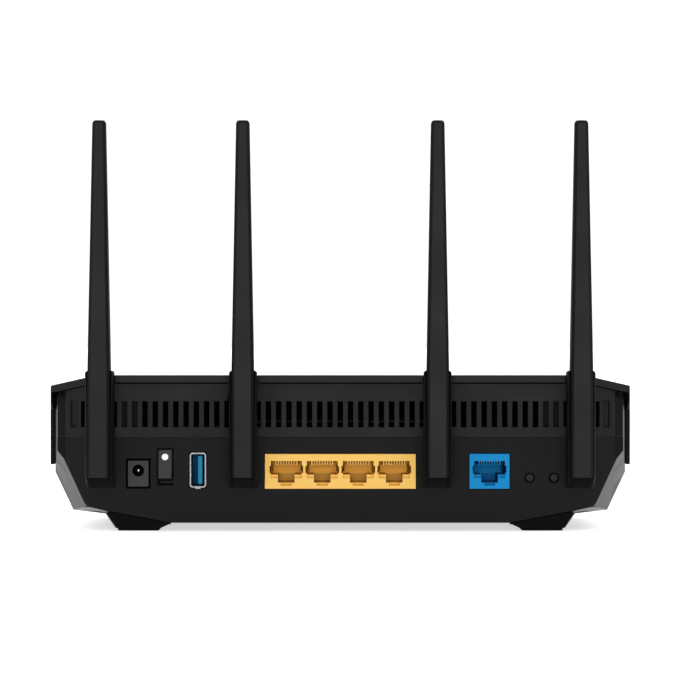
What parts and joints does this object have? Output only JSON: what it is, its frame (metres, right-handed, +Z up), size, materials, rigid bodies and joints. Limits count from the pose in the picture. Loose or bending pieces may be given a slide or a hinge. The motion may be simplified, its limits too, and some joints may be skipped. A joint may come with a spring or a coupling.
{
  "type": "wireless router",
  "caption": "Low faceted black wireless router with a rear connector panel, a row of vent slots and tall tapered antennas that tilt back on hinge pins.",
  "frame": {"origin": "on the floor, in the middle of the overall box", "axes": "+Z up, the connector panel faces -Y, +X to the right when the panel is looked at"},
  "size_m": [0.2288, 0.154, 0.1591],
  "materials": {
    "cover_black": "fine matt texture",
    "panel_black": "fine matt texture",
    "case_grey": "satin",
    "antenna_black": "fine matt texture",
    "foot_rubber": "matt",
    "board_green": "solder mask",
    "chip_black": "moulded",
    "pad_grey": "soft",
    "sink_aluminium": "extruded",
    "shield_steel": "tin plated",
    "screw_steel": "zinc plated",
    "pin_black": "blackened",
    "socket_yellow": "satin",
    "socket_blue": "satin",
    "usb_steel": "nickel plated",
    "usb_blue": "satin",
    "contact_gold": "gold plated",
    "inlet_black": "satin",
    "rocker_black": "satin",
    "button_black": "satin",
    "light_clear": "clear",
    "led_white": "diffuse",
    "strip_copper": "etched"
  },
  "bodies": {
    "housing": {"lower_case": "case_grey", "top_cover": "cover_black", "rear_panel": "panel_black", "foot_pads": "foot_rubber", "main_board": "board_green", "board_screws": "screw_steel", "case_screws": "screw_steel", "processor": "chip_black", "thermal_pad": "pad_grey", "heat_sink": "sink_aluminium", "radio_shield_left": "shield_steel", "radio_shield_right": "shield_steel", "lan_transformers": "chip_black", "lan_sockets": "socket_yellow", "lan_contacts": "contact_gold", "wan_socket": "socket_blue", "wan_contacts": "contact_gold", "usb_shell": "usb_steel", "usb_tongue": "usb_blue", "usb_contacts": "contact_gold", "power_inlet": "inlet_black", "power_inlet_pin": "usb_steel", "power_switch_housing": "chip_black", "tact_switches": "chip_black", "light_pipes": "light_clear", "status_leds": "led_white"},
    "rocker": {"power_rocker": "rocker_black"},
    "pairing_button": {"pairing_button": "button_black"},
    "reset_button": {"reset_button": "button_black"},
    "antenna_1": {"antenna_1_sleeve": "antenna_black", "antenna_1_knuckle": "chip_black", "antenna_1_strip": "strip_copper", "antenna_1_hinge_pin": "pin_black"},
    "antenna_2": {"antenna_2_sleeve": "antenna_black", "antenna_2_knuckle": "chip_black", "antenna_2_strip": "strip_copper", "antenna_2_hinge_pin": "pin_black"},
    "antenna_3": {"antenna_3_sleeve": "antenna_black", "antenna_3_knuckle": "chip_black", "antenna_3_strip": "strip_copper", "antenna_3_hinge_pin": "pin_black"},
    "antenna_4": {"antenna_4_sleeve": "antenna_black", "antenna_4_knuckle": "chip_black", "antenna_4_strip": "strip_copper", "antenna_4_hinge_pin": "pin_black"}
  },
  "joints": [
    {"name": "antenna_1_tilt", "type": "hinge", "parent": "housing", "child": "antenna_1", "pos_m": [-0.09314, -0.0724, 0.0258], "axis": [1, 0, 0], "range_deg": [0, 90]},
    {"name": "antenna_2_tilt", "type": "hinge", "parent": "housing", "child": "antenna_2", "pos_m": [-0.03765, -0.0724, 0.0258], "axis": [1, 0, 0], "range_deg": [0, 90]},
    {"name": "antenna_3_tilt", "type": "hinge", "parent": "housing", "child": "antenna_3", "pos_m": [0.03765, -0.0724, 0.0258], "axis": [1, 0, 0], "range_deg": [0, 90]},
    {"name": "antenna_4_tilt", "type": "hinge", "parent": "housing", "child": "antenna_4", "pos_m": [0.09314, -0.0724, 0.0258], "axis": [1, 0, 0], "range_deg": [0, 90]},
    {"name": "rocker_tilt", "type": "hinge", "parent": "housing", "child": "rocker", "pos_m": [-0.0682, -0.06074, 0.02495], "axis": [1, 0, 0], "range_deg": [0, 24]},
    {"name": "pairing_button_push", "type": "slide", "parent": "housing", "child": "pairing_button", "axis": [0, 1, 0], "range_m": [0, 0.0005], "stiffness_N_per_m": 300},
    {"name": "reset_button_push", "type": "slide", "parent": "housing", "child": "reset_button", "axis": [0, 1, 0], "range_m": [0, 0.0005], "stiffness_N_per_m": 300}
  ]
}
